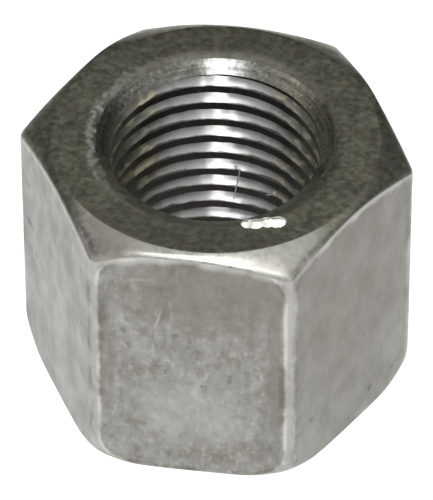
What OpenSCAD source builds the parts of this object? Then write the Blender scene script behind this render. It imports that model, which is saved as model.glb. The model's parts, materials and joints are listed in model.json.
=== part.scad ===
// Lug nut: one hexagon of steel with a right-hand thread through it.
// The thread's axis is Z. The seat face lies on z = 0 and a flat faces the front, -Y.

/* [Hexagon] */
// Width across the flats
across_flats = 19.05; // [18:0.05:24]
// Height from the seat face to the top face
height = 16.7; // [12:0.05:24]
// Radius of the six worn upright edges
edge_radius = 0.5; // [0.2:0.05:1]

/* [Chamfers] */
// How far the top chamfer reaches in from the sharp corners
top_cut = 1.95; // [1:0.05:2.4]
// Fall of the top chamfer from the top face, in degrees
top_chamfer_angle = 29; // [15:1:45]
// How far the seat chamfer reaches in from the sharp corners
seat_cut = 1.05; // [0.5:0.05:2.4]
// Rise of the seat chamfer from the seat face, in degrees
seat_chamfer_angle = 36; // [15:1:45]

/* [Thread] */
// Major diameter, at the bottom of the groove
thread_major_d = 12.7; // [10:0.05:13.5]
// Rise of the groove in one turn
thread_pitch = 1.27; // [1:0.01:1.75]
// Angle between the groove's two flanks, in degrees
thread_angle = 60; // [55:1:60]
// Direction from +X in which the groove crosses the seat face, in degrees
thread_start = 0; // [-180:1:180]

/* [Mouths] */
// How far the rim of each mouth lies outside the bottom of the groove
mouth_margin = 0.79; // [0.2:0.01:1.5]
// Fall of each mouth from its face into the hole, in degrees
mouth_angle = 25; // [10:1:45]

/* [Hidden] */
$fn = 96;

// The hexagon
flat_r = across_flats / 2;
corner_r = flat_r / cos(30);
edge_centre_r = corner_r - edge_radius / cos(30);

// The chamfers, as cones that run out past the corners
clear_r = corner_r + 1;
top_face_r = corner_r - top_cut;
seat_face_r = corner_r - seat_cut;
top_fall = (clear_r - top_face_r) * tan(top_chamfer_angle);
seat_rise = (clear_r - seat_face_r) * tan(seat_chamfer_angle);

// The thread's form: a sharp V that is cut to an eighth at the root and a half of its height
major_r = thread_major_d / 2;
flank_slope = tan(thread_angle / 2);
root_flat = thread_pitch / 8;
thread_depth = thread_pitch / (4 * flank_slope);
minor_r = major_r - thread_depth;

// The tap that cuts the groove reaches a little inside the hole and past both faces
tap_inner_r = minor_r - thread_pitch / 8;
tap_half_root = root_flat / 2;
tap_half_base = tap_half_root + (major_r - tap_inner_r) * flank_slope;
turn_steps = 36;
tap_turns = ceil(height / thread_pitch) + 2;
tap_steps = tap_turns * turn_steps;
tap_section = [
    [tap_inner_r, -tap_half_base],
    [major_r, -tap_half_root],
    [major_r, tap_half_root],
    [tap_inner_r, tap_half_base],
];
section_size = len(tap_section);

// The mouths, as cones that meet the hole's wall
mouth_r = major_r + mouth_margin;
mouth_slope = tan(mouth_angle);
mouth_depth = (mouth_r - minor_r) * mouth_slope;
overrun = 1;
overrun_r = mouth_r + overrun / mouth_slope;

// Section of the hexagon, with a corner on +X and its upright edges rounded
module hexagon_section() {
    polygon([
        for (corner = [0 : 5], side = [-1, 1])
            let (turn = 60 * corner, lean = turn + 30 * side)
            edge_centre_r * [cos(turn), sin(turn)] + edge_radius * [cos(lean), sin(lean)]
    ]);
    for (corner = [0 : 5])
        rotate(60 * corner)
            translate([edge_centre_r, 0])
                circle(r = edge_radius);
}

// The turned solid whose two cones chamfer the hexagon's corners
module chamfer_envelope() {
    rotate_extrude()
        polygon([
            [0, 0],
            [seat_face_r, 0],
            [clear_r, seat_rise],
            [clear_r, height - top_fall],
            [top_face_r, height],
            [0, height],
        ]);
}

// The drilled hole at the thread's minor diameter, with a shallow mouth at each face
module drilled_hole() {
    rotate_extrude()
        polygon([
            [0, -overrun],
            [overrun_r, -overrun],
            [minor_r, mouth_depth],
            [minor_r, height - mouth_depth],
            [overrun_r, height + overrun],
            [0, height + overrun],
        ]);
}

// One corner of the tap's section, a number of steps along the helix
function tap_point(step, corner) =
    let (turn = thread_start + 360 * (step / turn_steps - 1),
         rise = thread_pitch * (step / turn_steps - 1))
    [corner.x * cos(turn), corner.x * sin(turn), rise + corner.y];

// Index of a corner of the tap's section, a number of steps along the helix
function tap_index(step, corner) = step * section_size + corner % section_size;

// The helical tap: the groove's section swept up a right-hand helix
module tap() {
    points = [
        for (step = [0 : tap_steps], corner = tap_section)
            tap_point(step, corner)
    ];
    sides = [
        for (step = [0 : tap_steps - 1], corner = [0 : section_size - 1])
            each [
                [tap_index(step, corner), tap_index(step, corner + 1), tap_index(step + 1, corner + 1)],
                [tap_index(step, corner), tap_index(step + 1, corner + 1), tap_index(step + 1, corner)],
            ]
    ];
    lower_end = [for (corner = [section_size - 1 : -1 : 0]) tap_index(0, corner)];
    upper_end = [for (corner = [0 : section_size - 1]) tap_index(tap_steps, corner)];
    polyhedron(points, concat([lower_end], sides, [upper_end]), convexity = 2 * tap_turns);
}

// The whole nut
module lug_nut() {
    color([0.58, 0.58, 0.56])
        difference() {
            intersection() {
                linear_extrude(height) hexagon_section();
                chamfer_envelope();
            }
            drilled_hole();
            tap();
        }
}

lug_nut();
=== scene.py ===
"""Lug nut: a worn steel hexagon nut with a cut thread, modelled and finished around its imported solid."""
import json
import math
from collections import namedtuple

import bmesh
import bpy
from bpy.props import FloatProperty, FloatVectorProperty, PointerProperty
from mathutils import Matrix, Vector, noise


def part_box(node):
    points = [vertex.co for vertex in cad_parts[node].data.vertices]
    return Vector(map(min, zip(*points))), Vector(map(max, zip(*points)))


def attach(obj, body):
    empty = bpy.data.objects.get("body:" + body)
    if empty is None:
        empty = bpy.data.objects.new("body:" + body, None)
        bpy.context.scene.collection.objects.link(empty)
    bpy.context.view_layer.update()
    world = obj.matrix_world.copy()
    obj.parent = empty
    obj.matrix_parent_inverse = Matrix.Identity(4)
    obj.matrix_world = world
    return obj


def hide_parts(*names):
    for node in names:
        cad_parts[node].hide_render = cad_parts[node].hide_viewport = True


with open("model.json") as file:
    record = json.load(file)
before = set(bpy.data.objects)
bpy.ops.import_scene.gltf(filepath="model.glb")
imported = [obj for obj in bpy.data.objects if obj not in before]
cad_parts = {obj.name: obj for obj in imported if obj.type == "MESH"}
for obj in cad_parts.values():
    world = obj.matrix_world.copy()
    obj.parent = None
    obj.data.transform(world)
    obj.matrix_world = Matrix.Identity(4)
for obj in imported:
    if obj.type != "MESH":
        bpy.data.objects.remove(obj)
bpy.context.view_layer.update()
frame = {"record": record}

bl_info = {
    "name": "Lug nut",
    "version": (1, 0, 0),
    "blender": (4, 5, 0),
    "location": "View3D > Sidebar > Lug nut",
    "description": "Builds a worn steel lug nut around its packed solid, and the stage that it stands on",
    "category": "Add Mesh",
}

MM = 0.001
SIXTH = math.pi / 3
COS_30 = math.cos(math.pi / 6)
SIN_30 = 0.5
NODE = "lug_nut"

node_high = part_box(NODE)[1]
thread_mount = next(m for m in frame["record"]["mounts"] if m["name"] == "thread")
sharp_corner_r = node_high.y / COS_30


# Properties that a user would change

def length(name, description, default):
    """A length in metres that shows in the panel."""
    return FloatProperty(
        name=name, description=description, default=default, unit="LENGTH", precision=5)


def turn(name, description, degrees):
    """An angle that shows in the panel."""
    return FloatProperty(
        name=name, description=description, default=math.radians(degrees), subtype="ANGLE")


def share(name, description, default):
    """A plain number that shows in the panel."""
    return FloatProperty(name=name, description=description, default=default)


def colour(name, description, default):
    """A colour that shows in the panel."""
    return FloatVectorProperty(
        name=name, description=description, default=default, subtype="COLOR", size=3, min=0.0, max=1.0)


class NutSizes(bpy.types.PropertyGroup):
    """Sizes of the nut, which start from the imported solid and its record."""
    across_flats: length("Across flats", "Width across the flats", 2 * node_high.y)
    height: length("Height", "Height from the seat face to the top face", node_high.z)
    edge_radius: length(
        "Edge radius", "Least radius of the worn upright edges",
        (sharp_corner_r - node_high.x) / (1 / COS_30 - 1))
    top_cut: length("Top cut", "How far the top chamfer reaches in from the sharp corners", 1.95 * MM)
    top_chamfer_angle: turn("Top chamfer", "Fall of the top chamfer from the top face", 29)
    seat_cut: length("Seat cut", "How far the seat chamfer reaches in from the sharp corners", 1.05 * MM)
    seat_chamfer_angle: turn("Seat chamfer", "Rise of the seat chamfer from the seat face", 36)
    minor_r: length(
        "Crest radius", "Radius of the thread's crests", thread_mount["dims"]["r_mm"] * MM)
    major_r: length("Groove radius", "Radius at the bottom of the thread's groove", 6.35 * MM)
    pitch: length("Pitch", "Rise of the thread in one turn", 1.27 * MM)
    thread_start: turn("Thread start", "Direction in which the groove crosses the seat face", 0)
    mouth_margin: length("Mouth margin", "How far each mouth's rim lies outside the groove", 0.79 * MM)
    mouth_depth: length(
        "Mouth depth", "Depth of each mouth at the thread's crests",
        node_high.z / 2 - thread_mount["dims"]["length_mm"] * MM / 2)


class NutColours(bpy.types.PropertyGroup):
    """Colours of the nut's finishes."""
    flats: colour("Flats", "Dull steel of the six flats", (0.264, 0.26, 0.241))
    # Warm patches are the flats' own brown tone, and the same colour is painted shade in stripes beside the
    # upright edges of the front flat and of the flat to its right
    brown_patch_and_painted_shade: colour("Warm patches", "Brownish patches on the flats", (0.178, 0.167, 0.146))
    # Dark marks are pits, scratches and dirt, and the same colour is painted shade on the right corner's
    # chamfer, inside the back of the top mouth's rim and in a band just inside the border of each flat
    dark_mark_and_painted_shade: colour("Dark marks", "Pits, scratches and dirt", (0.09, 0.085, 0.075))
    # Worn edges are steel rubbed bright, and the same colour is painted light: soft patches low on the front
    # and left flats, small highlights on the front flat's top edge and a band along the front flat's border
    wear_and_painted_light: colour("Worn edges", "Steel rubbed bright along the edges", (0.385, 0.381, 0.36))
    # A painted highlight along the ridge round the front flat
    painted_edge_highlight: colour("Bright edges", "Sharp bright lines round the front flat", (0.49, 0.485, 0.46))
    # The end film is the end faces' dark oily film; where it stays on the sides and back of the chamfers it
    # is painted shade
    film: colour("End film", "Dark oily film on the end faces and the chamfers", (0.12, 0.121, 0.087))
    # End grain is the film's lighter grain, and the same colour is painted shade on the sides of the thread
    # and a painted reflection on the near side of the top mouth
    film_grain_and_painted_light: colour("End grain", "Lighter grain in the film", (0.24, 0.24, 0.185))
    film_warm: colour("End stain", "Brown stains in the film", (0.20, 0.175, 0.125))
    chamfer: colour("Chamfers", "Steel of the two chamfers", (0.385, 0.38, 0.355))
    mouth: colour("Mouths", "Satin steel of the two mouths", (0.25, 0.25, 0.225))
    thread: colour("Thread", "Bright cut steel of the thread", (0.68, 0.68, 0.67))
    torn: colour("Torn steel", "Bare steel of the cuts and curls", (0.75, 0.74, 0.7))
    # Glints are painted: yellowish highlights on the sides of the thread, and a painted yellowish reflection
    # on the right of the mouths
    glint: colour("Glints", "Yellowish oil on the thread and the mouths", (0.95, 0.91, 0.66))
    # Crests: a near-black colour laid on the thread's torn crests
    crest: colour("Crests", "Dirt on the thread's torn crests", (0.036, 0.032, 0.028))


class StageSettings(bpy.types.PropertyGroup):
    """Camera, lamps and floor."""
    elevation: turn("Elevation", "Height of the camera above the horizon", 44.419)
    azimuth: turn("Azimuth", "Turn of the camera to the right of the front flat", 8.216)
    roll: turn("Roll", "Roll of the camera", -0.12)
    distance: length("Distance", "Distance from the camera to its target", 332.54 * MM)
    aim_right: length("Aim right", "How far right of the nut's middle the camera aims", 0.020 * MM)
    aim_up: length("Aim up", "How far above the nut's middle the camera aims", -0.199 * MM)
    lens: share("Lens", "Focal length of the camera in millimetres", 428.54)
    floor: colour("Floor", "Pale floor", (0.45, 0.45, 0.45))
    world: colour("Surroundings", "Dim light of the room", (0.12, 0.12, 0.12))
    front_wall: colour("Front wall", "Pale low walls before and beside the nut", (0.9, 0.9, 0.9))
    ceiling_glow: share("Ceiling", "Brightness of the wide ceiling over the nut", 1.05)
    softbox_glow: share("Softbox", "Brightness of the softbox before the nut", 7.5)
    front_glow: share("Front lamp", "Brightness of the lamp beside the camera", 30.0)


# Steps round the nut, how closely they gather at its upright edges, and rows along the blank's section
SPIN_STEPS = 360
GATHER = 1.6
FOOT_ROWS = 10
WALL_ROWS = 28
LIP_ROWS = 6
CHAMFER_ROWS = 6
FACE_ROWS = 12
MOUTH_ROWS = 18

# The lip, where the wall is rounded into the top chamfer: its share of the blank's chamfer, the most that it
# takes of the real one, and its size at the middle of a flat
LIP_SHARE = 0.4
LIP_LIMIT = 0.6
LIP_MIDDLE = 0.26 * MM

# The top chamfer: how it bulges and wanders, and the headings in degrees, spreads in degrees and heights in
# millimetres where its outer edge stands proud or, below zero, is worn down
CHAMFER_DOME = 0.1
CHAMFER_WANDER = 0.08 * MM
WANDER_TURNS = 2.2
Proud = namedtuple("Proud", "heading spread height")
PROUD_EDGES = (
    Proud(-110, 9, 0.26),
    Proud(-30, 16, 0.14),
    Proud(36, 13, 0.28),
    Proud(118, 7, -0.15),
    Proud(138, 14, 0.3),
)

# The worn seat chamfer: its size at the middle of a flat, the share of its rise where it bends, how far its
# corners are worn up the wall, and the length over which its edges are eased
LEAST_SEAT_CHAMFER = 0.12 * MM
FOOT_KNEE = 0.5
FOOT_WEAR = 1.7 * MM
FOOT_EASE = 0.2 * MM

# Wear of the six upright edges from +X round, the height over which it changes, and where in the noise each
# edge starts
EDGE_WEAR = (0.1 * MM, 0.2 * MM, 0.2 * MM, 0.1 * MM, 0.35 * MM, 0.35 * MM)
EDGE_WEAR_HEIGHT = 2.6 * MM
WEAR_START = 1.9
WEAR_STEP = 7.3

# The mouths: how they curve, how far the blank's core lies inside the crests, and where the film covers them
MOUTH_CURVE = 1.5
CORE_MARGIN = 0.25 * MM
FILMED_RIM = 0.5 * MM
FILMED_FRONT = -2.0 * MM

# Creases: the angle from which they are rounded, their radii and segments, and the angle that is shaded sharp
CREASE_ANGLE = math.radians(14)
OUTER_ROUND = 0.09 * MM
OUTER_SEGMENTS = 4
FACE_ROUND = 0.05 * MM
FACE_SEGMENTS = 2
SHARP_ANGLE = math.radians(32)

# Finishes: how far an end face may lean from level, and a flat from upright
END_LEAN = math.radians(9)
FLAT_LEAN = math.radians(20)

# The thread: its flanks, the share of the pitch that is flat at its root, steps in a turn, turns past the
# faces, how far, over what length and from which seed it is torn, and how far the crests' finish reaches
FLANK_ANGLE = math.pi / 6
ROOT_SHARE = 1 / 8
TAP_STEPS = 144
TAP_OVERRUN = 2
TEAR = 0.034 * MM
TEAR_ACROSS = 0.5
TEAR_LENGTH = 0.5 * MM
TEAR_SEED = 1
CREST_REACH = 0.05 * MM

# Lengths within this are the same
TOUCH = 0.001 * MM

# Short straight cuts in the rim of the top mouth, each with its middle, the heading that its face looks along
# and half its length, and their profile as distances along that heading and heights, in millimetres
Nick = namedtuple("Nick", "x y facing half_length")
NICKS = (
    Nick(2.66, -6.3, -92, 0.4),
    Nick(3.05, -6.3, -84, 0.5),
    Nick(3.65, -6.12, -70, 0.42),
    Nick(4.2, -6.05, -80, 0.52),
)
NICK_PROFILE = ((-0.5, 0.0), (-0.28, 0.06), (0.28, -0.3), (0.5, 0.0))
NICK_SURROUND = 1.2
NICK_DIVISIONS = 2
NICK_TEAR = 0.3
NICK_TEAR_LENGTH = 0.35
BARE_DEPTH = 0.03 * MM

# Thin curls of steel that hang on the thread, each as headings in degrees, radii and heights in millimetres
CURL_R = 0.055 * MM
CURL_SIDES = 6
CURLS = (
    ((87.6, 5.79, 9.10), (86.0, 5.66, 9.16), (84.4, 5.62, 9.06), (84.6, 5.60, 8.80),
     (86.2, 5.62, 7.80), (87.6, 5.70, 6.95), (88.2, 5.82, 6.55)),
    ((69.0, 5.84, 7.45), (66.5, 5.70, 7.70), (64.0, 5.62, 8.00), (62.2, 5.66, 8.20), (62.6, 5.70, 7.95),
     (64.2, 5.82, 7.72)),
)

# Marks on the nut's sides: a colour and its strength, the heading of the flat or upright edge, the place
# along it and the height of the mark's middle, half its width, half its height and its lean
Mark = namedtuple("Mark", "colour strength heading along height wide tall lean", defaults=[0])
MARKS = (
    Mark("brown_patch_and_painted_shade", 0.65, -90, 1.5, 15.0, 7.5, 5.5),
    Mark("brown_patch_and_painted_shade", 0.68, -30, 0.0, 11.0, 9.0, 13.0),
    # Painted light: a lighter patch low on the left flat
    Mark("wear_and_painted_light", 0.22, -150, -1.0, 4.5, 7.0, 8.0),
    # Painted reflection: a lighter patch low in the middle of the front flat
    Mark("wear_and_painted_light", 0.4, -90, 0.2, 4.8, 4.6, 3.6),
    # Painted highlight on the front flat's rounded top edge
    Mark("wear_and_painted_light", 0.3, -90, -2.8, 14.7, 1.0, 0.25, 8),
    Mark("dark_mark_and_painted_shade", 0.22, -90, -2.0, 14.0, 0.7, 0.4),
    Mark("wear_and_painted_light", 0.6, -90, -1.85, 11.7, 0.12, 1.1, -14),
    Mark("dark_mark_and_painted_shade", 0.35, -90, -2.1, 10.6, 0.14, 0.7, -10),
    Mark("dark_mark_and_painted_shade", 0.25, -90, 4.3, 3.6, 1.0, 3.2),
    Mark("wear_and_painted_light", 0.8, -90, 0.3, 3.4, 0.12, 0.14),
    Mark("wear_and_painted_light", 0.7, -90, -1.3, 8.6, 0.4, 0.1),
    Mark("dark_mark_and_painted_shade", 0.18, -90, 2.4, 11.5, 0.8, 0.5),
    Mark("dark_mark_and_painted_shade", 0.6, -90, 0.46, 6.9, 0.2, 0.16),
    Mark("dark_mark_and_painted_shade", 0.22, -90, -4.75, 12.9, 0.26, 1.3),
    Mark("dark_mark_and_painted_shade", 0.6, -30, 1.24, 6.4, 0.18, 0.16),
    Mark("dark_mark_and_painted_shade", 0.6, -150, -4.2, 12.85, 0.5, 0.25),
    Mark("dark_mark_and_painted_shade", 0.75, -150, -4.2, 10.0, 0.7, 0.5),
    Mark("dark_mark_and_painted_shade", 0.5, -150, -3.15, 8.2, 0.3, 0.2),
    # Painted shade: brown stripes beside the upright edges of the front flat and of the flat to its right
    Mark("brown_patch_and_painted_shade", 0.55, -90, 4.6, 8.5, 0.7, 8.0),
    Mark("brown_patch_and_painted_shade", 0.45, -90, -4.7, 8.5, 0.6, 8.0),
    Mark("brown_patch_and_painted_shade", 0.4, -30, -4.8, 8.5, 0.6, 7.0),
    Mark("wear_and_painted_light", 0.4, -60, 0.0, 13.0, 0.45, 4.0),
    Mark("wear_and_painted_light", 0.25, -120, 0.0, 11.0, 0.3, 5.0),
)
# How far from the axis marks on flats and on upright edges lie, how far they reach in and out, and the half
# width under which a mark stays straight
FLAT_OUT = 9.5
EDGE_OUT = 10.6
MARK_REACH = 2.0
THIN_MARK = 0.15


def pointing(heading):
    """Level direction of a heading."""
    return Vector((math.cos(heading), math.sin(heading), 0))


def bend(start, knee, end, along):
    """Point a share of the way along a curve that leaves towards a knee and arrives from it."""
    return start.lerp(knee, along).lerp(knee.lerp(end, along), along)


def on_profile(profile, across):
    """Height of a profile of straight lines at a distance across it, and nothing beyond its ends."""
    for (start, low), (end, high) in zip(profile, profile[1:]):
        if start <= across < end:
            return low + (high - low) * (across - start) / (end - start)
    return 0.0


def lesser(first, second, ease):
    """The lesser of two lengths, eased where they meet."""
    return (first + second - math.hypot(first - second, ease)) / 2


def domed(outward):
    """Share of the top chamfer's fall at a share of its way out."""
    return outward - CHAMFER_DOME * math.sin(math.pi * outward)


class NutForm:
    """Radii and heights that follow from the sizes."""

    def __init__(self, sizes):
        self.flat_r = sizes.across_flats / 2
        self.corner_r = self.flat_r / COS_30
        self.height = sizes.height
        self.edge_radius = sizes.edge_radius
        self.top_face_r = self.corner_r - sizes.top_cut
        self.top_slope = math.tan(sizes.top_chamfer_angle)
        self.seat_face_r = self.corner_r - sizes.seat_cut
        self.seat_slope = math.tan(sizes.seat_chamfer_angle)
        self.minor_r = sizes.minor_r
        self.major_r = sizes.major_r
        self.pitch = sizes.pitch
        self.thread_start = sizes.thread_start
        self.core_r = sizes.minor_r - CORE_MARGIN
        self.mouth_r = sizes.major_r + sizes.mouth_margin
        self.mouth_depth = sizes.mouth_depth

    def mouth_fall(self, r):
        """How far a mouth lies below its face at a radius: it steepens towards the thread."""
        inward = (self.mouth_r - r) / (self.mouth_r - self.minor_r)
        return self.mouth_depth * inward ** MOUTH_CURVE

    def reach(self, from_corner, radius):
        """Distance from the axis to the hexagon, at an angle from the nearest corner, with rounded edges."""
        centre_r = self.corner_r - radius / COS_30
        touch = math.atan2(radius * SIN_30, centre_r + radius * COS_30)
        if abs(from_corner) >= touch:
            return self.flat_r / math.cos(math.pi / 6 - abs(from_corner))
        across = centre_r * math.sin(from_corner)
        return centre_r * math.cos(from_corner) + math.sqrt(radius ** 2 - across ** 2)

    def wall_top(self, r):
        """Height at which the wall meets the top chamfer."""
        return self.height - (r - self.top_face_r) * self.top_slope

    def chamfer_edge(self, r, heading):
        """Height of the top chamfer's outer edge, before it is rounded, at a radius and a heading."""
        height = self.wall_top(r) + CHAMFER_WANDER * noise.noise(pointing(heading) * WANDER_TURNS)
        for proud in PROUD_EDGES:
            turned = math.remainder(math.degrees(heading) - proud.heading, 360) / proud.spread
            height += proud.height * MM * math.exp(-turned ** 2)
        return min(height, self.height)

    def cornerward(self, reach):
        """Share of the way from the middle of a flat to a sharp corner, for a distance from the axis."""
        return (reach - self.flat_r) / (self.corner_r - self.flat_r)

    def edge_point(self, reach, heading, inward):
        """Radius and height on the lip and the bulging top chamfer, from the wall, 0, to the face, 1."""
        run = reach - self.top_face_r
        fall = self.height - self.chamfer_edge(reach, heading)
        wear = EDGE_WEAR[round(heading / SIXTH) % 6] * self.cornerward(reach)
        lip = min(LIP_MIDDLE + wear, LIP_LIMIT * run)
        meet = 1 - lip / run
        steepness = 1 - CHAMFER_DOME * math.pi * math.cos(math.pi * meet)
        chamfer_end = Vector((reach - lip, self.height - fall * domed(meet)))
        knee = Vector((reach, chamfer_end.y - fall * steepness * lip / run))
        if inward < LIP_SHARE:
            return bend(knee - Vector((0, lip)), knee, chamfer_end, inward / LIP_SHARE)
        outward = meet * (1 - inward) / (1 - LIP_SHARE)
        return Vector((self.top_face_r + outward * run, self.height - fall * domed(outward)))

    def nick(self, place):
        """How far the cuts in the mouth's rim push the top up or, below zero, down at a place."""
        moved = [0.0]
        for nick in NICKS:
            from_middle = Vector((place.x / MM - nick.x, place.y / MM - nick.y))
            facing = pointing(math.radians(nick.facing)).xy
            along = facing.cross(from_middle) / nick.half_length
            if abs(along) < 1:
                fade = math.sqrt(1 - along ** 2)
                torn = 1 + NICK_TEAR * noise.noise(place / MM / NICK_TEAR_LENGTH)
                moved.append(fade * torn * on_profile(NICK_PROFILE, facing.dot(from_middle) / fade) * MM)
        return max(moved, key=abs)

    def wall_foot(self, r):
        """Height at which the wall meets the seat chamfer, with a rubbed edge along the flats."""
        rise = (r - self.seat_face_r) * self.seat_slope
        return -lesser(-rise, -LEAST_SEAT_CHAMFER, FOOT_EASE)

    def seat_edge(self, reach):
        """Radius at which the seat face ends, where the hexagon reaches a distance from the axis."""
        return lesser(self.seat_face_r, reach - LEAST_SEAT_CHAMFER, FOOT_EASE)

    def foot_point(self, reach, outward):
        """Radius and height on the worn seat chamfer, from the seat face, 0, to the wall, 1."""
        foot = self.wall_foot(reach)
        start = Vector((self.seat_edge(reach), 0))
        knee = Vector((reach, foot * FOOT_KNEE))
        end = Vector((reach, foot + FOOT_WEAR * self.cornerward(reach) ** 2))
        return bend(start, knee, end, outward)


# The nut's mesh

def between(start, end, rows):
    """Points from start to end in even rows, with both ends."""
    return [Vector(start).lerp(Vector(end), row / rows) for row in range(rows + 1)]


def spun(section, steps, rise, closed):
    """A section of radii and heights, spun once round the axis with a rise at each step."""
    bm = bmesh.new()
    points = [bm.verts.new((r, 0, z)) for r, z in section]
    ends = points[1:] + points[:1] if closed else points[1:]
    for point, following in zip(points, ends):
        bm.edges.new((point, following))
    bmesh.ops.spin(
        bm, geom=bm.verts[:] + bm.edges[:], cent=(0, 0, 0), axis=(0, 0, 1), dvec=(0, 0, rise),
        angle=2 * math.pi, steps=steps, use_merge=closed, use_duplicate=False)
    return bm


def turned_blank(form):
    """A round blank with both mouths, as one section spun round the axis."""
    mouth = between((form.mouth_r, 0), (form.core_r, 0), MOUTH_ROWS)
    seat_mouth = [(p.x, form.mouth_fall(p.x)) for p in reversed(mouth)]
    top_mouth = [(p.x, form.height - form.mouth_fall(p.x)) for p in mouth]
    seat_face = between((form.mouth_r, 0), (form.seat_face_r, 0), FACE_ROWS)[1:]
    top_face = between((form.top_face_r, form.height), (form.mouth_r, form.height), FACE_ROWS)[:-1]
    foot = (form.corner_r, form.wall_foot(form.corner_r))
    head = (form.corner_r, form.wall_top(form.corner_r))
    lip_end = Vector(head).lerp(Vector(top_face[0]), LIP_SHARE)
    lip = between(head, lip_end, LIP_ROWS)[1:]
    top_chamfer = between(lip_end, top_face[0], CHAMFER_ROWS)[1:-1]
    wall = between(foot, head, WALL_ROWS)
    seat_chamfer = between(seat_face[-1], foot, FOOT_ROWS)[1:-1]
    section = [*seat_mouth, *seat_face, *seat_chamfer, *wall, *lip, *top_chamfer, *top_face, *top_mouth]
    bm = spun(section, SPIN_STEPS, 0, True)
    bmesh.ops.remove_doubles(bm, verts=bm.verts[:], dist=TOUCH / 10)
    return bm


def worn_radius(form, corner, z):
    """Radius of an upright edge at a height: worn rounder here and there."""
    wear = 1 + noise.noise((WEAR_STEP * corner + WEAR_START, 0.0, z / EDGE_WEAR_HEIGHT)) / 2
    return form.edge_radius + EDGE_WEAR[corner] * wear


def press_to_hexagon(bm, form):
    """Moves the blank's wall, chamfers and seat to the hexagon, with closer steps at the upright edges."""
    blank_foot = form.wall_foot(form.corner_r)
    blank_head = form.wall_top(form.corner_r)
    for vert in bm.verts:
        x, y, z = vert.co
        r = math.hypot(x, y)
        heading = math.atan2(y, x)
        corner = round(heading / SIXTH)
        from_corner = heading - corner * SIXTH
        closeness = (abs(from_corner) / (SIXTH / 2)) ** GATHER
        from_corner = math.copysign(closeness * SIXTH / 2, from_corner)
        heading = corner * SIXTH + from_corner
        reach = form.reach(from_corner, worn_radius(form, corner % 6, min(z, blank_head)))
        outward = (r - form.top_face_r) / (form.corner_r - form.top_face_r)
        on_top = z > form.height / 2
        if r > form.corner_r - TOUCH:
            upward = (z - blank_foot) / (blank_head - blank_foot)
            foot = form.foot_point(reach, 1.0).y
            z = foot + upward * (form.edge_point(reach, heading, 0.0).y - foot)
            r = reach
        elif on_top and outward > 0:
            r, z = form.edge_point(reach, heading, 1 - outward)
        elif not on_top and r > form.seat_face_r + TOUCH:
            r, z = form.foot_point(reach, (r - form.seat_face_r) / (form.corner_r - form.seat_face_r))
        elif not on_top and r > form.mouth_r:
            outward = (r - form.mouth_r) / (form.seat_face_r - form.mouth_r)
            r = form.mouth_r + outward * (form.seat_edge(reach) - form.mouth_r)
        vert.co = (r * math.cos(heading), r * math.sin(heading), z)


def round_creases(bm, form):
    """Rounds the edges of the chamfers and the mouths' rims."""
    outer = []
    inner = []
    for edge in bm.edges:
        nearest = min(vert.co.xy.length for vert in edge.verts)
        if nearest < form.mouth_r - TOUCH or edge.calc_face_angle(0.0) < CREASE_ANGLE:
            continue
        if nearest > form.top_face_r + TOUCH:
            outer.append(edge)
        else:
            inner.append(edge)
    for edges, radius, segments in ((inner, FACE_ROUND, FACE_SEGMENTS), (outer, OUTER_ROUND, OUTER_SEGMENTS)):
        left = [edge for edge in edges if edge.is_valid]
        bmesh.ops.bevel(
            bm, geom=left, offset=radius, segments=segments, profile=0.5, affect="EDGES", material=-1,
            clamp_overlap=True)


def near_nick(place, form):
    """Whether a place lies on the top, close to one of the cuts."""
    apart = min(math.hypot(place.x / MM - nick.x, place.y / MM - nick.y) for nick in NICKS)
    return apart < NICK_SURROUND and place.z > form.height - form.mouth_depth


def cut_nicks(bm, form):
    """Divides the top more finely round the cuts in the mouth's rim, and presses them in."""
    close = [edge for edge in bm.edges if all(near_nick(vert.co, form) for vert in edge.verts)]
    bmesh.ops.subdivide_edges(bm, edges=close, cuts=NICK_DIVISIONS, use_grid_fill=True)
    for vert in bm.verts:
        if near_nick(vert.co, form):
            vert.co.z = min(vert.co.z + form.nick(vert.co), form.height)


def finish_of(face, form):
    """Name of the finish that a face of the blank takes."""
    middle = face.calc_center_median()
    r = middle.xy.length
    if middle.z > form.height / 2 and abs(form.nick(middle)) > BARE_DEPTH:
        return "torn"
    if r < form.mouth_r - FILMED_RIM and middle.y > FILMED_FRONT:
        return "mouth"
    if r < form.mouth_r or abs(face.normal.z) > math.cos(END_LEAN):
        return "end_face"
    if abs(face.normal.z) < math.sin(FLAT_LEAN):
        return "flat"
    return "chamfer"


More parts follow.
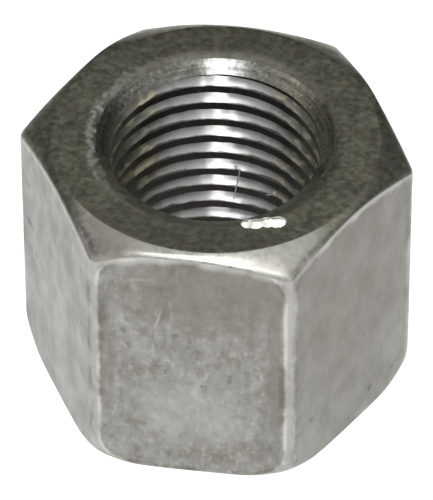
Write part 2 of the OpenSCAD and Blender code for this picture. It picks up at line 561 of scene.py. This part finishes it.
def tap(form):
    """A threaded plug of the hole's form, longer than the nut, as one section spun up a helix."""
    half_root = form.pitch * ROOT_SHARE / 2
    half_base = half_root + (form.major_r - form.minor_r) * math.tan(FLANK_ANGLE)
    turns = math.ceil(form.height / form.pitch) + TAP_OVERRUN
    section = []
    for number in range(-TAP_OVERRUN, turns):
        groove = number * form.pitch
        tooth = [
            (form.minor_r, groove - half_base),
            (form.major_r, groove - half_root),
            (form.major_r, groove + half_root),
            (form.minor_r, groove + half_base),
        ]
        for start, end in zip(tooth, tooth[1:] + [(form.minor_r, groove + form.pitch - half_base)]):
            section += between(start, end, 2)[:-1]
    section.append((form.minor_r, turns * form.pitch - half_base))
    bm = spun(section, TAP_STEPS, form.pitch / TAP_STEPS, False)
    bmesh.ops.remove_doubles(bm, verts=bm.verts[:], dist=TOUCH)
    caps = bmesh.ops.holes_fill(bm, edges=[edge for edge in bm.edges if edge.is_boundary], sides=0)
    bmesh.ops.poke(bm, faces=caps["faces"])
    noise.seed_set(TEAR_SEED)
    for vert in bm.verts:
        wander = noise.noise_vector(vert.co / TEAR_LENGTH)
        outward = Vector((vert.co.x, vert.co.y, 0)).normalized()
        vert.co += (outward * wander.x * TEAR_ACROSS + Vector((0, 0, wander.z))) * TEAR
    bmesh.ops.rotate(
        bm, verts=bm.verts[:], cent=(0, 0, 0), matrix=Matrix.Rotation(form.thread_start, 3, "Z"))
    bmesh.ops.recalc_face_normals(bm, faces=bm.faces[:])
    for face in bm.faces:
        farthest = max(vert.co.xy.length for vert in face.verts)
        face.material_index = int(farthest < form.minor_r + CREST_REACH)
    return bm


def curls():
    """Thin curls of cut steel, as closed tubes that are extruded from point to point."""
    bm = bmesh.new()
    for path in CURLS:
        points = [
            Matrix.Rotation(math.radians(heading), 3, "Z") @ Vector((r * MM, 0, z * MM))
            for heading, r, z in path
        ]
        aim = (points[1] - points[0]).to_track_quat("Z", "Y").to_matrix().to_4x4()
        ring = bmesh.ops.create_circle(
            bm, cap_ends=True, segments=CURL_SIDES, radius=CURL_R,
            matrix=Matrix.Translation(points[0]) @ aim)
        tip = ring["verts"][0].link_faces[0]
        for point, following in zip(points, points[1:]):
            grown = bmesh.ops.extrude_face_region(bm, geom=[tip])["geom"]
            tip = next(item for item in grown if isinstance(item, bmesh.types.BMFace))
            bmesh.ops.translate(bm, verts=tip.verts[:], vec=following - point)
    bmesh.ops.recalc_face_normals(bm, faces=bm.faces[:])
    return bm


def mesh_object(name, bm, materials):
    """A new object at the origin that holds a bmesh, with its materials."""
    mesh = bpy.data.meshes.new(name)
    bm.to_mesh(mesh)
    bm.free()
    for material in materials:
        mesh.materials.append(material)
    made = bpy.data.objects.new(name, mesh)
    bpy.context.scene.collection.objects.link(made)
    return made


def cut_thread(nut, plug):
    """Takes the plug out of the nut, and keeps the plug's own material on the faces that it cuts."""
    cut = nut.modifiers.new("Tap", "BOOLEAN")
    cut.operation = "DIFFERENCE"
    cut.solver = "EXACT"
    cut.material_mode = "TRANSFER"
    cut.object = plug
    shown = nut.evaluated_get(bpy.context.evaluated_depsgraph_get())
    threaded = bpy.data.meshes.new_from_object(shown)
    blank = nut.data
    nut.modifiers.clear()
    nut.data = threaded
    threaded.name = nut.name
    bpy.data.meshes.remove(blank)
    bpy.data.meshes.remove(plug.data)


def add_shells(nut, bm, material_index):
    """Adds the closed shells of a bmesh to a mesh, in one of its materials."""
    for face in bm.faces:
        face.material_index = material_index
    shells = bpy.data.meshes.new("shells")
    bm.to_mesh(shells)
    bm.clear()
    bm.from_mesh(nut.data)
    bm.from_mesh(shells)
    bm.to_mesh(nut.data)
    bm.free()
    bpy.data.meshes.remove(shells)


# Shader nodes

# The border on each flat: its distance from the upright edges and the radius of its corners, in millimetres
EDGE_BAND = 0.26
BORDER_ROUND = 1.4

# How far ragged marks stray, in millimetres, and the direction across the camera's view by which the hole's
# painted highlight, shade and glints are placed
MARK_STRAY = 0.7
VIEW_ACROSS = pointing(math.radians(8))


class Nodes:
    """A node tree, with short ways to add nodes that give back their output sockets."""

    def __init__(self, tree):
        self.tree = tree

    def put(self, value, socket):
        """Links a socket to another one, or sets a number or a colour on it."""
        if isinstance(value, bpy.types.NodeSocket):
            self.tree.links.new(value, socket)
        elif socket.type == "RGBA":
            socket.default_value = (*value, 1.0)
        else:
            socket.default_value = value

    def add(self, kind, inputs=None, **settings):
        """Adds a node, and sets it and its inputs."""
        made = self.tree.nodes.new(kind)
        for name, value in settings.items():
            setattr(made, name, value)
        for name, value in (inputs or {}).items():
            self.put(value, made.inputs[name])
        return made.outputs

    def use(self, group, inputs):
        """Places a node group in the tree."""
        return self.add("ShaderNodeGroup", inputs, node_tree=group)

    def maths(self, operation, first, second=0.0, third=0.0):
        """One step of arithmetic."""
        return self.add("ShaderNodeMath", {0: first, 1: second, 2: third}, operation=operation)[0]

    def chain(self, operation, first, *others):
        """One operation carried on through several values."""
        for other in others:
            first = self.maths(operation, first, other)
        return first

    def times(self, *factors):
        """Factors multiplied: each is a value, or a value with the limits that ranged takes."""
        values = [self.ranged(*factor) if isinstance(factor, tuple) else factor for factor in factors]
        return self.chain("MULTIPLY", *values)

    def apart(self, first, second):
        """How far apart two values are."""
        return self.maths("ABSOLUTE", self.maths("SUBTRACT", first, second))

    def diagonal(self, first, second):
        """Length of the diagonal across two lengths."""
        squares = self.maths("ADD", self.maths("POWER", first, 2.0), self.maths("POWER", second, 2.0))
        return self.maths("SQRT", squares)

    def ranged(self, value, low, high, to_low=0.0, to_high=1.0):
        """A value moved smoothly from one range to another, and held inside it."""
        inputs = {"Value": value, 1: low, 2: high, 3: to_low, 4: to_high}
        return self.add("ShaderNodeMapRange", inputs, interpolation_type="SMOOTHSTEP")[0]

    def blend(self, amount, first, second):
        """Two colours mixed by an amount."""
        return self.add("ShaderNodeMix", {0: amount, 6: first, 7: second}, data_type="RGBA")[2]

    def vector(self, operation, first, second=(0.0, 0.0, 0.0), third=(0.0, 0.0, 0.0)):
        """One step of arithmetic on vectors."""
        return self.add("ShaderNodeVectorMath", {0: first, 1: second, 2: third}, operation=operation)

    def along(self, place, direction):
        """Distance of a place along a direction."""
        return self.vector("DOT_PRODUCT", place, direction)["Value"]

    def axes(self, place):
        """Distances of a place along the three axes."""
        return self.add("ShaderNodeSeparateXYZ", {0: place})

    def grain(self, place, per_mm, detail=4.0, roughness=0.55):
        """Noise of a number of features to the millimetre."""
        inputs = {"Vector": place, "Scale": per_mm, "Detail": detail, "Roughness": roughness}
        return self.add("ShaderNodeTexNoise", inputs)["Fac"]

    def stretched(self, place, scale, turned=(0.0, 0.0, 0.0)):
        """A place turned, and then stretched along its axes."""
        return self.add("ShaderNodeMapping", {"Vector": place, "Rotation": turned, "Scale": scale})[0]


class Group(Nodes):
    """A node group that takes a place and named values, and gives named values."""

    def __init__(self, name, *values):
        super().__init__(bpy.data.node_groups.new(name, "ShaderNodeTree"))
        self.tree.interface.new_socket("Place", in_out="INPUT", socket_type="NodeSocketVector")
        for label in values:
            self.tree.interface.new_socket(label, in_out="INPUT", socket_type="NodeSocketFloat")
        self.given = self.tree.nodes.new("NodeGroupInput").outputs

    def give(self, results):
        """Makes the group's outputs, and returns the finished group."""
        for label in results:
            self.tree.interface.new_socket(label, in_out="OUTPUT", socket_type="NodeSocketFloat")
        end = self.tree.nodes.new("NodeGroupOutput")
        for label, value in results.items():
            self.put(value, end.inputs[label])
        return self.tree


class Steel(Nodes):
    """A metal material that is coloured in layers."""

    def __init__(self, name, colours, base):
        self.material = bpy.data.materials.new(name)
        self.material.use_nodes = True
        super().__init__(self.material.node_tree)
        self.shader = self.tree.nodes["Principled BSDF"].inputs
        self.put(1.0, self.shader["Metallic"])
        self.colours = colours
        self.base = getattr(colours, base)

    def millimetres(self):
        """Place on the piece in millimetres."""
        where = self.add("ShaderNodeTexCoord")["Object"]
        return self.add("ShaderNodeVectorMath", {0: where, "Scale": 1 / MM}, operation="SCALE")[0]

    def lay(self, name, *factors):
        """Lays a named colour over the layers so far, by the product of some factors."""
        self.base = self.blend(self.times(*factors), self.base, getattr(self.colours, name))

    def turned_lines(self):
        """Spreads reflections across the fine lines that turning leaves round the axis."""
        self.put(1.0, self.shader["Anisotropic"])
        self.put(0.25, self.shader["Anisotropic Rotation"])

    def dress(self, roughness, height, depth):
        """Links the layers, a roughness and a relief to the shader, and returns the finished material."""
        relief = self.add("ShaderNodeBump", {"Height": height, "Distance": depth, "Strength": 1.0})[0]
        self.put(self.base, self.shader["Base Color"])
        self.put(roughness, self.shader["Roughness"])
        self.put(relief, self.shader["Normal"])
        return self.material


def edge_group(form):
    """Distances in millimetres from the nut's edges, its axis and a rounded border on each flat."""
    group = Group("Nut edges")
    place = group.given["Place"]
    headings = [SIXTH * number + math.pi / 6 for number in range(3)]
    widths = [group.maths("ABSOLUTE", group.along(place, pointing(heading))) for heading in headings]
    largest = group.chain("MAXIMUM", *widths)
    middle = group.chain("SUBTRACT", group.chain("ADD", *widths), largest, group.chain("MINIMUM", *widths))
    upright = group.maths("DIVIDE", group.maths("SUBTRACT", largest, middle), COS_30)
    x, y, z = group.axes(place)
    radius = group.diagonal(x, y)
    past_face = group.maths("SUBTRACT", radius, form.top_face_r / MM)
    fallen = group.maths("MULTIPLY_ADD", past_face, form.top_slope, z)
    below = group.maths("SUBTRACT", form.height / MM, fallen)
    past_seat = group.maths("MAXIMUM", group.maths("SUBTRACT", radius, form.seat_face_r / MM), 0.0)
    above = group.maths("MULTIPLY_ADD", past_seat, -form.seat_slope, z)
    aside = group.maths("SUBTRACT", BORDER_ROUND, group.maths("SUBTRACT", upright, EDGE_BAND))
    endward = group.maths("SUBTRACT", BORDER_ROUND, group.maths("MINIMUM", below, above))
    outside = group.diagonal(group.maths("MAXIMUM", aside, 0.0), group.maths("MAXIMUM", endward, 0.0))
    return group.give({
        "Upright": upright,
        "Below chamfer": below,
        "Border": group.maths("SUBTRACT", BORDER_ROUND, outside),
        "Inset": group.maths("SUBTRACT", form.flat_r / MM, largest),
        "Radius": radius,
    })


def film_group():
    """Grain and stains of the oily film, and fine rings left by turning."""
    group = Group("Film", "Radius")
    place = group.given["Place"]
    fine = group.grain(place, 2.4, 3.0)
    cloud = group.grain(place, 0.8, 5.0, 0.6)
    mixed = group.maths("ADD", group.times(fine, 0.6), group.times(cloud, 0.4))
    stain = group.grain(group.stretched(place, (1.0, 1.0, 1.0), (0.6, 0.3, 0.9)), 1.3, 6.0, 0.7)
    x, y = group.axes(place)[:2]
    rings = group.add("ShaderNodeCombineXYZ", {
        0: group.times(group.given["Radius"], 7.0), 1: group.times(x, 0.25), 2: group.times(y, 0.25)})[0]
    return group.give({
        "Grain": group.ranged(mixed, 0.36, 0.66),
        "Stain": group.ranged(stain, 0.5, 0.7),
        "Rings": group.grain(rings, 1.0, 3.0, 0.6),
        "Relief": group.grain(place, 2.6, 1.5, 0.5),
    })


def pits_group():
    """Small round pits, scattered over a share of the surface's cells."""
    group = Group("Pits", "Per mm", "Share")
    place, per_mm, share_kept = group.given[:3]
    cells = group.add("ShaderNodeTexVoronoi", {"Vector": place, "Scale": per_mm})
    picked = group.add("ShaderNodeSeparateColor", {0: cells["Color"]})[0]
    kept = group.maths("LESS_THAN", picked, share_kept)
    return group.give({"Pits": group.times(kept, (cells["Distance"], 0.12, 0.34, 1.0, 0.0))})


def lay_mark(steel, place, mark):
    """Lays a soft patch on the nut's side, whole in its middle."""
    heading = math.radians(mark.heading)
    out = EDGE_OUT if mark.heading % 60 == 0 else FLAT_OUT
    middle = Matrix.Rotation(heading, 3, "Z") @ Vector((out, mark.along, mark.height))
    near = steel.add("ShaderNodeMapping", {
        "Vector": place, "Location": middle, "Rotation": (math.radians(mark.lean), 0.0, heading),
        "Scale": (MARK_REACH, mark.wide, mark.tall)}, vector_type="TEXTURE")[0]
    steel.lay(mark.colour, (steel.vector("LENGTH", near)["Value"], 0.3, 1.0, mark.strength, 0.0))


def flat_steel(colours, groups):
    """Dull mottled steel of the flats, with marks, pits and edges rubbed bright, some marks painted as light
    and shade, and a painted highlight and painted shade along a ridge round the front flat.
    """
    steel = Steel("flat_steel", colours, "flats")
    place = steel.millimetres()
    edges = steel.use(groups["edges"], {"Place": place})
    forward = steel.times(steel.axes(place)[1], -1.0)
    # Mottle, strokes and the dark band along the border are strongest on the front flat
    toward_front = steel.ranged(forward, 8.7, 9.3, 0.35, 1.0)
    in_front = steel.ranged(forward, 9.3, 9.45)
    broad = steel.grain(place, 0.3, 2.0)
    smear = steel.grain(steel.stretched(place, (1.0, 1.0, 0.7)), 0.7)
    mottle = steel.grain(steel.stretched(place, (1.0, 1.0, 0.7)), 1.7, 3.0)
    fine = steel.grain(steel.stretched(place, (0.6, 0.6, 0.8)), 4.0, 2.0, 0.5)
    strokes = steel.grain(steel.stretched(place, (1.0, 1.0, 0.5)), 2.2, 2.0, 0.5)
    steel.lay("brown_patch_and_painted_shade", (broad, 0.4, 0.7, 0.0, 0.35))
    steel.lay("brown_patch_and_painted_shade", toward_front, (mottle, 0.45, 0.75, 0.0, 0.8))
    steel.lay("wear_and_painted_light", toward_front, (mottle, 0.25, 0.48, 0.3, 0.0))
    steel.lay("brown_patch_and_painted_shade", (smear, 0.4, 0.75), (forward, 8.7, 9.3, 0.26, 0.4))
    steel.lay("wear_and_painted_light", toward_front, (smear, 0.3, 0.5, 0.15, 0.0))
    steel.lay("wear_and_painted_light", toward_front, (fine, 0.52, 0.72, 0.0, 0.3))
    steel.lay("dark_mark_and_painted_shade", toward_front, (fine, 0.26, 0.4, 0.25, 0.0))
    steel.lay("wear_and_painted_light", toward_front, (strokes, 0.54, 0.7, 0.0, 0.5))
    steel.lay("dark_mark_and_painted_shade", toward_front, (strokes, 0.3, 0.44, 0.35, 0.0))

    stray = steel.add("ShaderNodeTexNoise", {"Vector": place, "Scale": 1.3, "Detail": 3.0})["Color"]
    stray = steel.vector("MULTIPLY_ADD", stray, [MARK_STRAY] * 3, [-MARK_STRAY / 2] * 3)[0]
    ragged = steel.vector("ADD", place, stray)[0]
    for mark in MARKS:
        lay_mark(steel, place if mark.wide < THIN_MARK else ragged, mark)
    pits = steel.use(groups["pits"], {"Place": place, "Per mm": 1.1, "Share": 0.05})[0]
    steel.lay("dark_mark_and_painted_shade", pits, 0.5)

    wobble = steel.times(steel.maths("SUBTRACT", smear, 0.5), 0.9)
    border = steel.maths("MULTIPLY_ADD", wobble, 0.35, edges["Border"])
    aside = steel.maths("ADD", edges["Upright"], wobble)
    below = steel.maths("ADD", edges["Below chamfer"], wobble)
    # The ridge round the front flat gets a painted highlight, with a lighter band between it and the edges,
    # and every flat gets a band of painted shade just inside the ridge, strongest in front; the upright and
    # top edges are rubbed lighter
    ridge = steel.times((steel.maths("ABSOLUTE", border), 0.03, 0.2, 1.0, 0.0), in_front)
    steel.lay("dark_mark_and_painted_shade", (steel.apart(border, 0.3), 0.05, 0.3, 0.4, 0.0), (smear, 0.45, 0.62), toward_front)
    steel.lay("wear_and_painted_light", (aside, 0.2, 0.55, 1.0, 0.0), (mottle, 0.3, 0.6, 0.8, 0.4))
    steel.lay("wear_and_painted_light", (below, 0.15, 0.6, 0.9, 0.0))
    steel.lay("wear_and_painted_light", (border, -0.25, -0.05, 0.7, 0.0), in_front)
    steel.lay("painted_edge_highlight", ridge, (smear, 0.42, 0.6, 0.9, 0.25))
    height = steel.maths("ADD", smear, steel.times(fine, 0.25))
    height = steel.maths("SUBTRACT", height, steel.times(pits, 0.5))
    height = steel.maths("MULTIPLY_ADD", ridge, 0.6, height)
    return steel.dress(steel.ranged(smear, 0.3, 0.7, 0.36, 0.5), height, 0.025 * MM)


def filmed_steel(name, colours, groups):
    """Steel under the oily film, the place on it, and its measures of edges and film."""
    steel = Steel(name, colours, "film")
    place = steel.millimetres()
    edges = steel.use(groups["edges"], {"Place": place})
    film = steel.use(groups["film"], {"Place": place, "Radius": edges["Radius"]})
    steel.lay("film_grain_and_painted_light", film["Grain"])
    steel.lay("film_warm", film["Stain"], 0.7)
    return steel, place, edges, film


def chamfer_steel(colours, groups):
    """Filmed steel of the two chamfers, painted lighter in front and left dark at the sides and back as the
    light and shade of their reflections, with a dark line along their outer edges.
    """
    steel, place, edges, film = filmed_steel("chamfer_steel", colours, groups)
    rightward, backward = steel.axes(place)[:2]
    aside = steel.maths("ABSOLUTE", rightward)
    # The lighter steel in front is painted light, and the dark film left at the sides and back is painted
    # shade
    patchy_front_light = steel.times((film["Relief"], 0.3, 0.7, 0.6, 0.92), (aside, 6.1, 7.2, 1.0, 0.12))
    painted_light_ahead = steel.ranged(backward, 0.0, 4.0, 1.0, 0.0)
    painted_light_ahead = steel.maths("MAXIMUM", painted_light_ahead, steel.ranged(edges["Radius"], 9.8, 10.3, 0.12, 1.0))
    line_fade = steel.times((rightward, 5.6, 6.2, 0.0, 0.9), (rightward, 8.2, 9.0, 1.0, 0.0))
    line = steel.times(
        (steel.apart(edges["Inset"], 0.11), 0.02, 0.07, 1.0, 0.0), (aside, 4.9, 5.6, 0.0, 0.45))
    steel.lay("chamfer", patchy_front_light, painted_light_ahead)
    steel.lay("film_warm", (steel.apart(rightward, -4.6), 0.5, 1.8, 0.4, 0.0))
    steel.lay("dark_mark_and_painted_shade", line, steel.maths("SUBTRACT", 1.0, line_fade))
    # Painted shade on the chamfer at the right corner
    steel.lay("dark_mark_and_painted_shade", (rightward, 7.6, 9.2, 0.0, 0.45))
    rough = steel.ranged(film["Relief"], 0.3, 0.7, 0.25, 0.38)
    rough = steel.maths("ADD", rough, steel.ranged(aside, 2.6, 4.2, 0.0, 0.14))
    return steel.dress(rough, film["Relief"], 0.005 * MM)


def rim_wear(steel, place, edges, film):
    """Where a mouth's rim is rubbed bare: most on the left, in a patchy band."""
    band = steel.apart(steel.maths("MULTIPLY_ADD", film["Relief"], 1.2, edges["Radius"]), 7.55)
    leftward = steel.ranged(steel.axes(place)[0], -6.0, -3.4, 1.0, 0.12)
    return steel.times((band, 0.08, 0.4, 0.85, 0.0), leftward, (film["Grain"], 0.1, 0.6, 0.35, 1.0))


def end_steel(colours, groups):
    """Dark grainy film of the end faces, rubbed lighter round part of the mouths' rims."""
    steel, place, edges, film = filmed_steel("end_steel", colours, groups)
    worn = rim_wear(steel, place, edges, film)
    backward = steel.axes(place)[1]
    in_mouth = steel.ranged(edges["Radius"], 7.0, 7.3, 1.0, 0.0)
    steel.lay("wear_and_painted_light", worn)
    # Darker towards the front and towards the back of the end faces
    steel.lay("dark_mark_and_painted_shade", (backward, -8.0, -5.5, 0.4, 0.0))
    steel.lay("dark_mark_and_painted_shade", (backward, 5.0, 8.0, 0.0, 0.2))
    # Painted shade inside the back of the top mouth's rim, and a painted reflection making its near side
    # lighter
    steel.lay("dark_mark_and_painted_shade", in_mouth, (backward, 1.0, 4.0, 0.0, 0.5))
    steel.lay("film_grain_and_painted_light", in_mouth, (backward, -4.0, -2.0, 0.9, 0.0))
    rough = steel.maths("MULTIPLY_ADD", worn, 0.2, steel.ranged(film["Relief"], 0.3, 0.7, 0.38, 0.5))
    return steel.dress(rough, film["Relief"], 0.02 * MM)


def mouth_steel(colours, groups):
    """Satin steel of the mouths, with fine turned rings."""
    steel, place, edges, film = filmed_steel("mouth_steel", colours, groups)
    across = steel.along(place, VIEW_ACROSS)
    specks = steel.grain(place, 4.5, 2.0, 0.6)
    steel.lay("mouth", (edges["Radius"], 6.3, 6.9, 0.7, 0.2))
    # Painted reflection: lighter yellowish steel on the right of the mouth
    steel.lay("glint", (across, 2.5, 5.0, 0.0, 0.4))
    steel.lay("wear_and_painted_light", (specks, 0.5, 0.66, 0.0, 0.6))
    steel.lay("dark_mark_and_painted_shade", (specks, 0.34, 0.48, 0.55, 0.0))
    # Painted highlight: the thread's bright colour in a strip down the middle of the view
    steel.lay(
        "thread", (steel.apart(across, 0.5), 0.3, 1.7, 1.0, 0.0), (edges["Radius"], 6.35, 6.65, 1.0, 0.35))
    steel.lay("dark_mark_and_painted_shade", (film["Rings"], 0.5, 0.62, 0.0, 0.5))
    steel.lay("wear_and_painted_light", rim_wear(steel, place, edges, film))
    steel.turned_lines()
    relief = steel.maths("MULTIPLY_ADD", film["Rings"], 0.6, film["Relief"])
    return steel.dress(steel.ranged(film["Relief"], 0.3, 0.7, 0.34, 0.46), relief, 0.02 * MM)


def thread_steel(colours, groups):
    """Bright cut steel of the thread, with fine lines along the cut, painted glints, and painted shade at the
    sides of the view.
    """
    steel = Steel("thread_steel", colours, "thread")
    place = steel.millimetres()
    cloud = steel.grain(place, 1.5, 4.0, 0.6)
    glint_noise = steel.grain(steel.stretched(place, (1.0, 0.5, 2.6)), 1.3, 1.5, 0.5)
    lines = steel.grain(steel.stretched(place, (0.8, 0.8, 14.0)), 1.0, 3.0)
    aside = steel.maths("ABSOLUTE", steel.along(place, VIEW_ACROSS))
    aside = steel.maths("MULTIPLY_ADD", cloud, 1.5, aside)
    backward, upward = steel.axes(place)[1:]
    radius = steel.use(groups["edges"], {"Place": place})["Radius"]
    ragged = steel.maths("MULTIPLY_ADD", steel.grain(place, 1.1, 2.0), 0.2, radius)
    spread = steel.times((aside, 1.8, 3.6, 0.0, 0.07), (aside, 4.2, 5.2, 1.0, -0.6))
    from_crest = steel.maths("SUBTRACT", ragged, spread)
    steel.lay("mouth", (cloud, 0.5, 0.8, 0.0, 0.4))
    # Painted shade on the thread's sides, and painted yellowish glints there
    steel.lay("film_grain_and_painted_light", (aside, 3.6, 5.4, 0.0, 0.55))
    steel.lay("glint", (glint_noise, 0.48, 0.62), (aside, 3.6, 4.6, 0.0, 0.95))
    steel.lay("crest", (from_crest, 5.9, 5.98, 0.85, 0.0), (aside, 4.6, 6.0, 1.0, 0.3))
    steel.lay("film", (upward, 15.4, 15.8), (backward, -1.0, 2.0, 0.9, 0.0))
    steel.turned_lines()
    return steel.dress(steel.ranged(lines, 0.3, 0.7, 0.38, 0.43), lines, 0.004 * MM)


def crest_steel(colours, groups):
    """Torn crests of the thread, in a near-black colour."""
    steel = Steel("crest_steel", colours, "crest")
    place = steel.millimetres()
    fine = steel.grain(place, 3.0, 5.0, 0.65)
    aside = steel.maths("ABSOLUTE", steel.along(place, VIEW_ACROSS))
    steel.lay("mouth", (fine, 0.55, 0.8, 0.0, 0.4))
    steel.lay("film_grain_and_painted_light", (aside, 4.0, 5.4, 0.0, 0.6))
    return steel.dress(steel.ranged(fine, 0.3, 0.7, 0.4, 0.6), fine, 0.02 * MM)


def torn_steel(colours, groups):
    """Bare torn steel of the cuts and curls."""
    steel = Steel("torn_steel", colours, "torn")
    steel.put(steel.base, steel.shader["Base Color"])
    steel.put(0.55, steel.shader["Roughness"])
    return steel.material


FINISHES = {
    "flat": flat_steel,
    "chamfer": chamfer_steel,
    "end_face": end_steel,
    "mouth": mouth_steel,
    "thread": thread_steel,
    "crest": crest_steel,
    "torn": torn_steel,
}


# Operators

class LUGNUT_OT_make_nut(bpy.types.Operator):
    """Makes the threaded nut and its finishes."""
    bl_idname = "lug_nut.make_nut"
    bl_label = "Make nut"

    def execute(self, context):
        form = NutForm(context.scene.lug_nut_sizes)
        colours = context.scene.lug_nut_colours
        groups = {"edges": edge_group(form), "film": film_group(), "pits": pits_group()}
        materials = {name: make(colours, groups) for name, make in FINISHES.items()}
        names = list(FINISHES)
        bm = turned_blank(form)
        press_to_hexagon(bm, form)
        bmesh.ops.recalc_face_normals(bm, faces=bm.faces[:])
        round_creases(bm, form)
        cut_nicks(bm, form)
        bm.normal_update()
        for face in bm.faces:
            face.material_index = names.index(finish_of(face, form))
        nut = mesh_object("worn_lug_nut", bm, [materials[name] for name in names])
        plug = mesh_object("tap", tap(form), [materials["thread"], materials["crest"]])
        cut_thread(nut, plug)
        add_shells(nut, curls(), names.index("torn"))
        nut.data.shade_smooth()
        nut.data.set_sharp_from_angle(angle=SHARP_ANGLE)
        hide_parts(NODE)
        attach(nut, "root")
        return {"FINISHED"}


class LUGNUT_OT_set_stage(bpy.types.Operator):
    """Sets the floor, the lamps, the surroundings and the camera."""
    bl_idname = "lug_nut.set_stage"
    bl_label = "Set stage"

    def execute(self, context):
        settings = context.scene.lug_nut_stage
        make_floor(settings)
        make_lamps(settings)
        make_world(settings)
        make_camera(settings, context.scene.lug_nut_sizes.height)
        context.scene.view_settings.view_transform = "Standard"
        return {"FINISHED"}


# The stage

# The floor's radius in metres, the sides of its rim and how white it looks
FLOOR_R = 3.0
FLOOR_SIDES = 96
FLOOR_GLOW = 0.85

# Round lamps, each with the setting that holds its brightness, its width in metres, and its elevation and its
# turn from the camera's heading in degrees, and their distance from the seat face's middle in metres
Lamp = namedtuple("Lamp", "name glow across elevation turn")
LAMPS = (
    Lamp("ceiling", "ceiling_glow", 0.5, 86, 30),
    Lamp("softbox", "softbox_glow", 0.105, 69, -10),
    Lamp("front_lamp", "front_glow", 0.06, 42, 0.5),
)
LAMP_DISTANCE = 0.30
CLIP_START = 0.01


def looking(azimuth, elevation):
    """Turn of a camera or a lamp that looks at the nut from an azimuth and an elevation."""
    return Matrix.Rotation(azimuth, 4, "Z") @ Matrix.Rotation(math.pi / 2 - elevation, 4, "X")


def make_floor(settings):
    """A wide pale floor that looks white to the camera and to the metal, and still takes the shadow."""
    bm = bmesh.new()
    bmesh.ops.create_circle(bm, cap_ends=True, segments=FLOOR_SIDES, radius=FLOOR_R)
    material = bpy.data.materials.new("pale_floor")
    material.use_nodes = True
    nodes = Nodes(material.node_tree)
    shader = material.node_tree.nodes["Principled BSDF"]
    nodes.put(settings.floor, shader.inputs["Base Color"])
    nodes.put(1.0, shader.inputs["Roughness"])
    nodes.put(0.0, shader.inputs["Specular IOR Level"])
    ray = nodes.add("ShaderNodeLightPath")
    seen = nodes.chain("MAXIMUM", ray["Is Camera Ray"], ray["Is Glossy Ray"], ray["Is Transmission Ray"])
    glow = nodes.add("ShaderNodeEmission", {"Strength": nodes.times(seen, FLOOR_GLOW)})[0]
    both = nodes.add("ShaderNodeAddShader", {0: shader.outputs[0], 1: glow})[0]
    nodes.put(both, material.node_tree.nodes["Material Output"].inputs["Surface"])
    mesh_object("floor", bm, [material])


def make_lamps(settings):
    """A wide dim ceiling, a softbox before the nut and a lamp beside the camera, all unseen by the camera."""
    for lamp in LAMPS:
        light = bpy.data.lights.new(lamp.name, "AREA")
        light.shape = "DISK"
        light.size = lamp.across
        light.energy = getattr(settings, lamp.glow) * math.pi * math.pi * (lamp.across / 2) ** 2
        made = bpy.data.objects.new(lamp.name, light)
        turned = looking(settings.azimuth + math.radians(lamp.turn), math.radians(lamp.elevation))
        made.matrix_world = turned @ Matrix.Translation((0, 0, LAMP_DISTANCE))
        made.visible_camera = False
        bpy.context.scene.collection.objects.link(made)


def make_world(settings):
    """Dim surroundings with pale low walls before and beside the nut."""
    world = bpy.data.worlds.new("room")
    world.use_nodes = True
    nodes = Nodes(world.node_tree)
    facing = nodes.add("ShaderNodeTexCoord")["Generated"]
    painted_light_ahead = nodes.along(facing, (math.sin(settings.azimuth), -math.cos(settings.azimuth), 0.0))
    rise = nodes.axes(facing)[2]
    low = nodes.times(nodes.ranged(painted_light_ahead, -0.3, 0.05), nodes.ranged(rise, 0.3, 0.55, 1.0, 0.0))
    high = nodes.times(nodes.ranged(painted_light_ahead, 0.35, 0.6), nodes.ranged(rise, 0.7, 0.85, 1.0, 0.0))
    wall = nodes.maths("MAXIMUM", low, high)
    shown = nodes.blend(wall, settings.world, settings.front_wall)
    nodes.put(shown, world.node_tree.nodes["Background"].inputs["Color"])
    bpy.context.scene.world = world


def make_camera(settings, height):
    """The camera, aimed close to the nut's middle."""
    turned = looking(settings.azimuth, settings.elevation) @ Matrix.Rotation(settings.roll, 4, "Z")
    aim = Vector((0, 0, height / 2))
    lens = bpy.data.cameras.new("camera")
    lens.lens = settings.lens
    lens.clip_start = CLIP_START
    camera = bpy.data.objects.new("camera", lens)
    step_back = turned @ Vector((settings.aim_right, settings.aim_up, settings.distance))
    camera.matrix_world = Matrix.Translation(aim + step_back) @ turned
    bpy.context.scene.collection.objects.link(camera)
    bpy.context.scene.camera = camera


# The panel

SETTINGS = {"lug_nut_sizes": NutSizes, "lug_nut_colours": NutColours, "lug_nut_stage": StageSettings}


class LUGNUT_PT_panel(bpy.types.Panel):
    """Sizes, colours and stage of the lug nut."""
    bl_idname = "LUGNUT_PT_panel"
    bl_label = "Lug nut"
    bl_space_type = "VIEW_3D"
    bl_region_type = "UI"
    bl_category = "Lug nut"

    def draw(self, context):
        for group, kind in SETTINGS.items():
            box = self.layout.box()
            for name in kind.__annotations__:
                box.prop(getattr(context.scene, group), name)
        self.layout.operator(LUGNUT_OT_make_nut.bl_idname)
        self.layout.operator(LUGNUT_OT_set_stage.bl_idname)


CLASSES = (*SETTINGS.values(), LUGNUT_OT_make_nut, LUGNUT_OT_set_stage, LUGNUT_PT_panel)


def register():
    for made in CLASSES:
        bpy.utils.register_class(made)
    for name, kind in SETTINGS.items():
        setattr(bpy.types.Scene, name, PointerProperty(type=kind))


def unregister():
    for name in SETTINGS:
        delattr(bpy.types.Scene, name)
    for made in reversed(CLASSES):
        bpy.utils.unregister_class(made)


def main():
    register()
    bpy.ops.lug_nut.make_nut()
    bpy.ops.lug_nut.set_stage()


if __name__ == "__main__":
    main()
